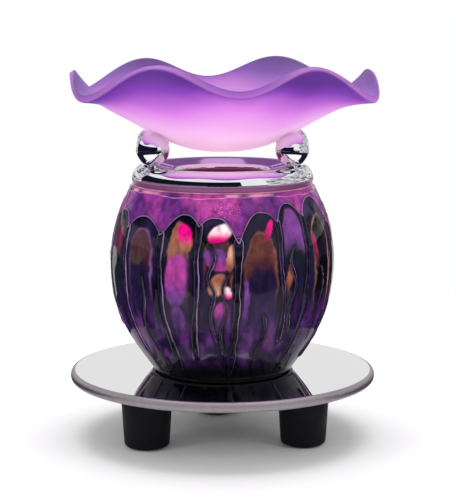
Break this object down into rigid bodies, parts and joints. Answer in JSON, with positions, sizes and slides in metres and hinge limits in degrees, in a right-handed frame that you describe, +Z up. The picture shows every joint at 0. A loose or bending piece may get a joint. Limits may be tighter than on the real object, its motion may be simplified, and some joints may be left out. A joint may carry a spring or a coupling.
{
  "type": "electric wax warmer",
  "caption": "Tabletop touch lamp that melts scented wax: loose wavy glass dish on balls over a round glass lamp body, on a mirror plate with feet.",
  "frame": {"origin": "on the floor under the middle of the plate", "axes": "+Z up, -Y towards the front between the two front feet, +X to the right"},
  "size_m": [0.15, 0.1554, 0.1868],
  "materials": {
    "foot_plastic": "satin moulded plastic",
    "black_rubber": "matt rubber",
    "clear_rubber": "translucent silicone",
    "zinc_steel": "bright zinc plate",
    "bright_steel": "bright annealed sheet",
    "foam": "closed-cell foam",
    "mirror_glass": "silvered glass with a satin edge",
    "housing_plastic": "fine spark texture",
    "board_laminate": "green solder mask",
    "part_plastic": "moulded epoxy",
    "capacitor_plastic": "yellow film capacitor case",
    "terminal_plastic": "green terminal body",
    "brass": "plain machined",
    "white_ceramic": "unglazed white steatite",
    "brown_lead": "heat-proof sleeve",
    "blue_lead": "heat-proof sleeve",
    "clear_glass": "clear quartz",
    "filament_metal": "drawn tungsten and molybdenum",
    "art_glass": "hand-blown glass with dark and metallic drip decoration",
    "chrome": "polished chrome plate",
    "frosted_glass": "acid-frosted tinted glass"
  },
  "bodies": {
    "warmer": {"foot_front_left": "foot_plastic", "foot_front_right": "foot_plastic", "foot_rear": "foot_plastic", "foot_treads": "black_rubber", "foot_screws": "zinc_steel", "base_disc": "zinc_steel", "plate_pad": "foam", "mirror_plate": "mirror_glass", "control_housing": "housing_plastic", "housing_cover": "housing_plastic", "housing_screws": "zinc_steel", "control_board": "board_laminate", "board_triac": "part_plastic", "board_capacitors": "capacitor_plastic", "touch_chip": "part_plastic", "terminal_block": "terminal_plastic", "cord_grommet": "black_rubber", "cord_clamp": "housing_plastic", "clamp_screws": "zinc_steel", "touch_lead": "brass", "lamp_stem": "brass", "stem_nut_lower": "brass", "stem_nut_upper": "brass", "stem_washers": "zinc_steel", "shield_nut": "brass", "heat_shield": "bright_steel", "holder_bracket": "zinc_steel", "bracket_nut": "brass", "lamp_holder": "white_ceramic", "holder_contacts": "brass", "holder_screws": "zinc_steel", "lamp_lead_live": "brown_lead", "lamp_lead_neutral": "blue_lead", "body_foot_gasket": "black_rubber", "glass_body": "art_glass", "body_top_gasket": "clear_rubber", "rod_plate": "zinc_steel", "tie_rods": "zinc_steel", "rod_nuts": "zinc_steel", "collar_ring": "chrome", "ball_post_left": "chrome", "ball_post_right": "chrome", "ball_post_rear_left": "chrome", "ball_post_rear_right": "chrome", "post_nuts": "zinc_steel"},
    "dish": {"dish": "frosted_glass"},
    "bulb": {"bulb_glass": "clear_glass", "bulb_filament": "filament_metal", "bulb_foils": "filament_metal", "bulb_pins": "zinc_steel"}
  },
  "joints": [
    {"name": "dish_lift", "type": "slide", "parent": "warmer", "child": "dish", "axis": [0, 0, 1], "range_m": [0, 0.08]},
    {"name": "bulb_pull", "type": "slide", "parent": "warmer", "child": "bulb", "axis": [0, 0, 1], "range_m": [0, 0.02]}
  ]
}
